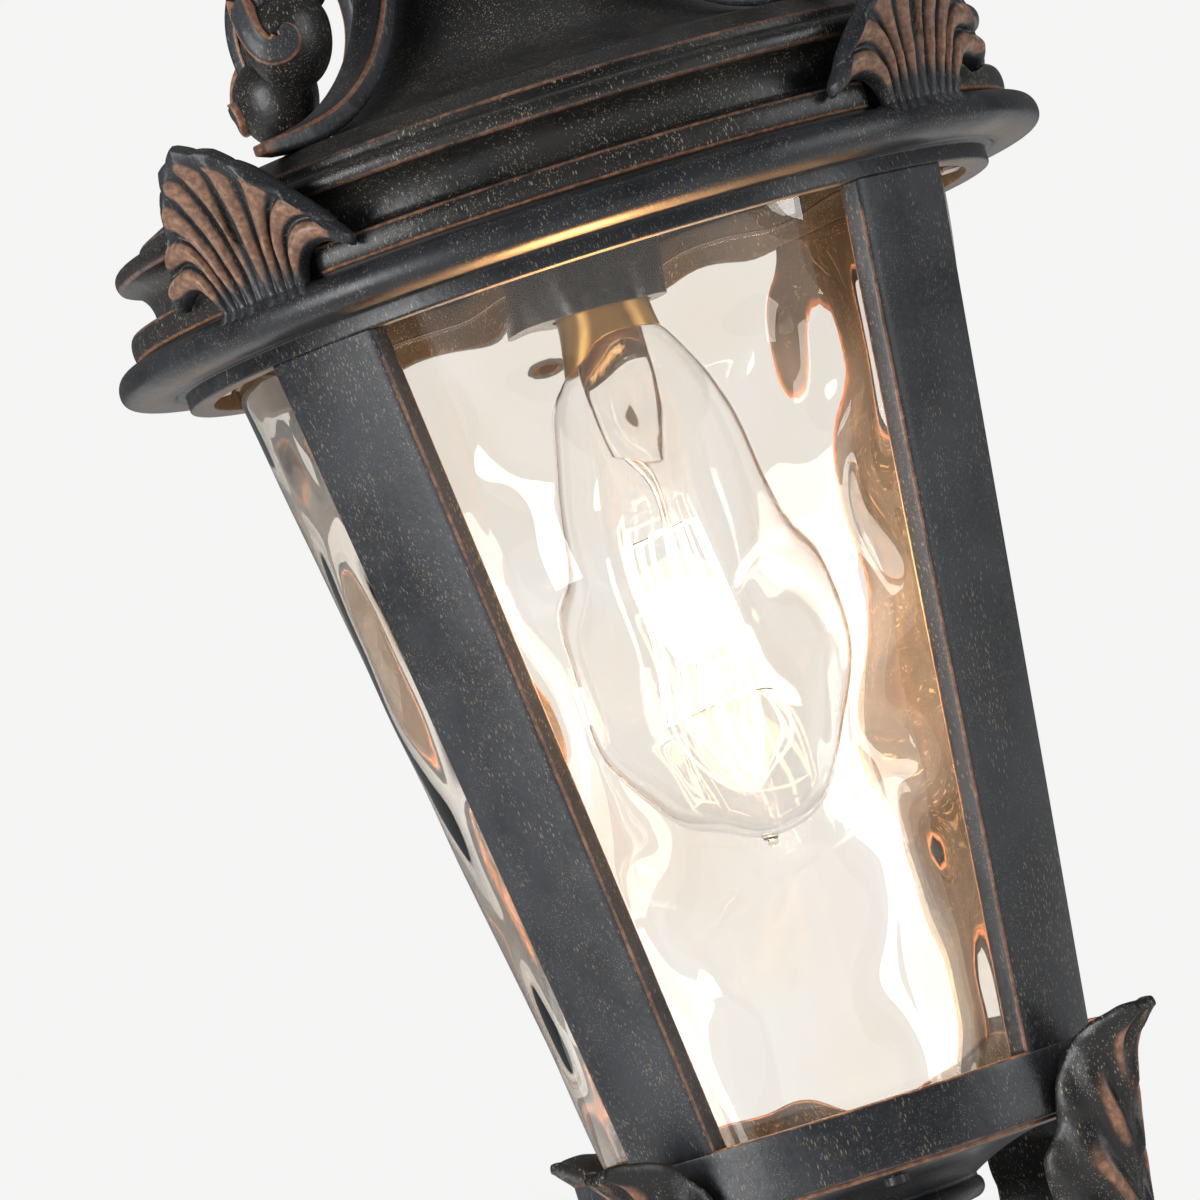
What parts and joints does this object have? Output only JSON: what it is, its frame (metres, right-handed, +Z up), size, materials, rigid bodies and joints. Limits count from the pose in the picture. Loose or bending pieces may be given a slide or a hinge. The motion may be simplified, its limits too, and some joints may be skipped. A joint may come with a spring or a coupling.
{
  "type": "outdoor hanging lantern",
  "caption": "Round hanging lantern: a moulded roof with scrolls over a strap cage with palmettes, a tapered amber glass, a screw-in lamp, and leaf brackets round a cup and finial.",
  "frame": {"origin": "centre of the eye of the hanging loop, where a chain link, hook or shackle holds the lantern", "axes": "+Z up along the lantern's axis, +Y along the eye's bore, and the four straps at 45 degrees between X and Y"},
  "size_m": [0.2286, 0.2286, 0.4778],
  "materials": {
    "charcoal_casting": "satin charcoal paint with copper rubbed on the edges, on cast aluminium",
    "brown_casting": "satin brown-black paint with gold specks, on cast aluminium",
    "amber_glass": "clear champagne glass with a hammered water surface",
    "lamp_glass": "clear, thin",
    "brass": "bright",
    "zinc_steel": "zinc plated",
    "black_insulation": "black moulded phenolic and vitrite",
    "gasket_rubber": "matt",
    "glowing_wire": "glowing tungsten"
  },
  "bodies": {
    "roof": {"hanging_loop": "charcoal_casting", "loop_set_screw": "zinc_steel", "threaded_nipple": "zinc_steel", "roof_cap": "charcoal_casting", "roof": "brown_casting", "nipple_washer": "zinc_steel", "nipple_nut": "zinc_steel", "roof_gasket": "gasket_rubber", "roof_scroll_1": "charcoal_casting", "roof_scroll_2": "charcoal_casting", "roof_scroll_3": "charcoal_casting", "roof_scroll_4": "charcoal_casting", "scroll_screws": "zinc_steel", "earth_screw": "brass", "holder_cap": "brass", "lampholder": "black_insulation", "screw_shell": "brass", "centre_contact": "brass"},
    "cage": {"cage_ring": "charcoal_casting", "cage_strap_1": "charcoal_casting", "cage_strap_2": "charcoal_casting", "cage_strap_3": "charcoal_casting", "cage_strap_4": "charcoal_casting", "strap_screws": "zinc_steel", "bottom_band": "charcoal_casting", "palmette_1": "charcoal_casting", "palmette_2": "charcoal_casting", "palmette_3": "charcoal_casting", "palmette_4": "charcoal_casting", "roof_screws": "zinc_steel", "glass_shade": "amber_glass", "glass_clips": "zinc_steel", "clip_screws": "zinc_steel", "glass_gasket": "gasket_rubber", "bottom_cup": "charcoal_casting", "cup_screws": "zinc_steel", "finial_rod": "zinc_steel", "rod_washer": "zinc_steel", "rod_nut": "zinc_steel", "finial_hub": "charcoal_casting", "bottom_finial": "charcoal_casting", "leaf_bracket_1": "charcoal_casting", "leaf_bracket_2": "charcoal_casting", "leaf_bracket_3": "charcoal_casting", "leaf_bracket_4": "charcoal_casting", "leaf_screws": "zinc_steel"},
    "lamp_tip": {"lamp_tip": "zinc_steel"},
    "lamp": {"lamp_insulator": "black_insulation", "lamp_cap": "brass", "lamp_glass": "lamp_glass", "lamp_stem": "lamp_glass", "filament_supports": "zinc_steel", "filament": "glowing_wire"}
  },
  "joints": [
    {"name": "cage_drop", "type": "slide", "parent": "roof", "child": "cage", "axis": [0, 0, -1], "range_m": [0, 0.2]},
    {"name": "lamp_lead", "type": "slide", "parent": "roof", "child": "lamp_tip", "axis": [0, 0, -1], "range_m": [0, 0.02]},
    {"name": "lamp_turn", "type": "hinge", "parent": "lamp_tip", "child": "lamp", "pos_m": [0, 0, -0.143], "axis": [0, 0, -1], "range_deg": [0, 1985]}
  ],
  "couplings": [
    {"joint": "lamp_turn", "follows": "lamp_lead", "rad_per_m": 1731.4}
  ]
}
